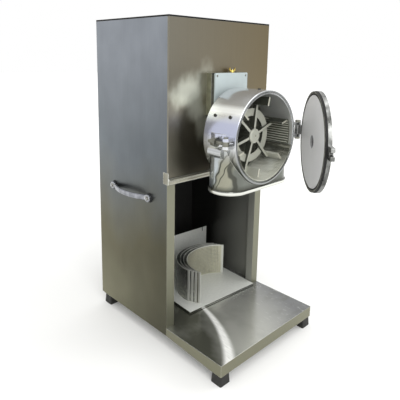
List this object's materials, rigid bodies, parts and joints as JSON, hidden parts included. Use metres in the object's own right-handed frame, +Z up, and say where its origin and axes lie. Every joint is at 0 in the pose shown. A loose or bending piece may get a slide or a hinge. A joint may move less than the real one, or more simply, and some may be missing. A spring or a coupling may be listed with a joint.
{
  "type": "commercial flour mill",
  "caption": "Upright stainless flour mill: beater drum with hinged round door and oval outlet on the front, open bay with screens, hopper under a lid, motor inside.",
  "frame": {"origin": "on the floor, under the centre of the whole machine's box with the door ajar as pictured", "axes": "+Z up, +Y from the mill at the front to the back of the cabinet, +X to the right as seen from the front"},
  "size_m": [0.539, 0.8722, 1.071],
  "materials": {
    "stainless_sheet": "brushed stainless steel sheet",
    "zinc_plated_steel": "bright zinc plate",
    "dark_sheet": "dark painted sheet",
    "black_rubber": "moulded black rubber",
    "cast_aluminium": "polished casting",
    "polished_steel": "polished stainless steel",
    "machined_steel": "turned and ground steel",
    "cast_iron_liner": "machined cast iron",
    "door_plate_sheet": "pressed satin sheet",
    "feed_box_sheet": "pale satin sheet",
    "brass": "turned brass",
    "motor_enamel": "grey enamel",
    "black_plastic": "moulded black plastic",
    "tray_sheet": "pale matt sheet",
    "screen_sheet": "perforated sheet"
  },
  "bodies": {
    "cabinet": {"back_panel": "stainless_sheet", "base_plate": "stainless_sheet", "bay_back_sheet": "dark_sheet", "bearing_housing": "cast_iron_liner", "cable_gland": "black_plastic", "compartment_floor": "zinc_plated_steel", "door_hinge_bolt": "machined_steel", "feed_box": "feed_box_sheet", "feed_box_cover": "feed_box_sheet", "feed_box_gasket": "black_rubber", "foot_bolts": "zinc_plated_steel", "foot_brackets": "zinc_plated_steel", "front_panel": "stainless_sheet", "front_trim": "stainless_sheet", "hopper": "stainless_sheet", "latch_ears": "cast_aluminium", "latch_pin": "machined_steel", "left_handle": "polished_steel", "left_ribbed_liner": "cast_iron_liner", "left_side_panel": "stainless_sheet", "lid_hinge_leaves": "zinc_plated_steel", "lid_hinge_pins": "zinc_plated_steel", "liner_screws": "machined_steel", "mill_back_wall": "cast_aluminium", "mill_bearings": "machined_steel", "mill_bolts": "zinc_plated_steel", "mill_housing": "cast_aluminium", "mill_mount_plate": "zinc_plated_steel", "motor_body": "motor_enamel", "motor_capacitor": "black_plastic", "motor_fan_cover": "motor_enamel", "motor_front_shield": "motor_enamel", "motor_rear_shield": "motor_enamel", "motor_shelf": "zinc_plated_steel", "motor_terminal_box": "motor_enamel", "right_handle": "polished_steel", "right_ribbed_liner": "cast_iron_liner", "right_side_panel": "stainless_sheet", "rubber_feet": "black_rubber", "shaft_seal": "black_rubber"},
    "rotor": {"shaft": "machined_steel", "rotor_spider": "cast_aluminium", "beater_blades": "machined_steel", "rotor_bolt": "machined_steel", "motor_fan": "black_plastic"},
    "door": {"door_casting": "cast_aluminium", "door_gasket": "black_rubber", "door_plate": "door_plate_sheet"},
    "latch": {"swing_bolt": "machined_steel"},
    "hand_nut": {"latch_nut": "machined_steel"},
    "gate": {"feed_gate": "zinc_plated_steel"},
    "gate_nut": {"wing_nut": "brass"},
    "lid": {"hopper_lid": "stainless_sheet", "lid_edging": "black_rubber", "lid_hinge_straps": "zinc_plated_steel"},
    "tray": {"screen_tray": "tray_sheet"},
    "first_screen": {"screen_1": "screen_sheet"},
    "second_screen": {"screen_2": "screen_sheet"},
    "third_screen": {"screen_3": "screen_sheet"},
    "fourth_screen": {"screen_4": "screen_sheet"}
  },
  "joints": [
    {"name": "rotor_spin", "type": "hinge", "parent": "cabinet", "child": "rotor", "pos_m": [0, -0.04392, 0.71], "axis": [0, 1, 0], "continuous": true},
    {"name": "door_swing", "type": "hinge", "parent": "cabinet", "child": "door", "pos_m": [0.172, -0.16792, 0.72], "axis": [0, 0, 1], "range_deg": [-45.5, 120]},
    {"name": "latch_swing", "type": "hinge", "parent": "cabinet", "child": "latch", "pos_m": [-0.17, -0.15792, 0.71], "axis": [0, 0, 1], "range_deg": [0, 180]},
    {"name": "hand_nut_turn", "type": "hinge", "parent": "latch", "child": "hand_nut", "pos_m": [-0.17, -0.12292, 0.71], "axis": [0, 1, 0], "continuous": true},
    {"name": "wing_nut_turn", "type": "hinge", "parent": "cabinet", "child": "gate_nut", "pos_m": [0.027, 0.00358, 0.903], "axis": [0, 0, 1], "range_deg": [0, 7236]},
    {"name": "gate_lift", "type": "slide", "parent": "cabinet", "child": "gate", "axis": [0, 0, 1], "range_m": [0, 0.03]},
    {"name": "lid_swing", "type": "hinge", "parent": "cabinet", "child": "lid", "pos_m": [0, 0.41668, 1.0664], "axis": [-1, 0, 0], "range_deg": [0, 100]},
    {"name": "tray_slide", "type": "slide", "parent": "cabinet", "child": "tray", "axis": [-0.0558, -0.9984, 0], "range_m": [0, 0.2]},
    {"name": "screen_1_lift", "type": "slide", "parent": "tray", "child": "first_screen", "axis": [0, 0, 1], "range_m": [0, 0.15]},
    {"name": "screen_2_lift", "type": "slide", "parent": "tray", "child": "second_screen", "axis": [0, 0, 1], "range_m": [0, 0.15]},
    {"name": "screen_3_lift", "type": "slide", "parent": "tray", "child": "third_screen", "axis": [0, 0, 1], "range_m": [0, 0.15]},
    {"name": "screen_4_lift", "type": "slide", "parent": "tray", "child": "fourth_screen", "axis": [0, 0, 1], "range_m": [0, 0.15]}
  ],
  "couplings": [
    {"joint": "wing_nut_turn", "follows": "gate_lift", "rad_per_m": 4188.8}
  ]
}
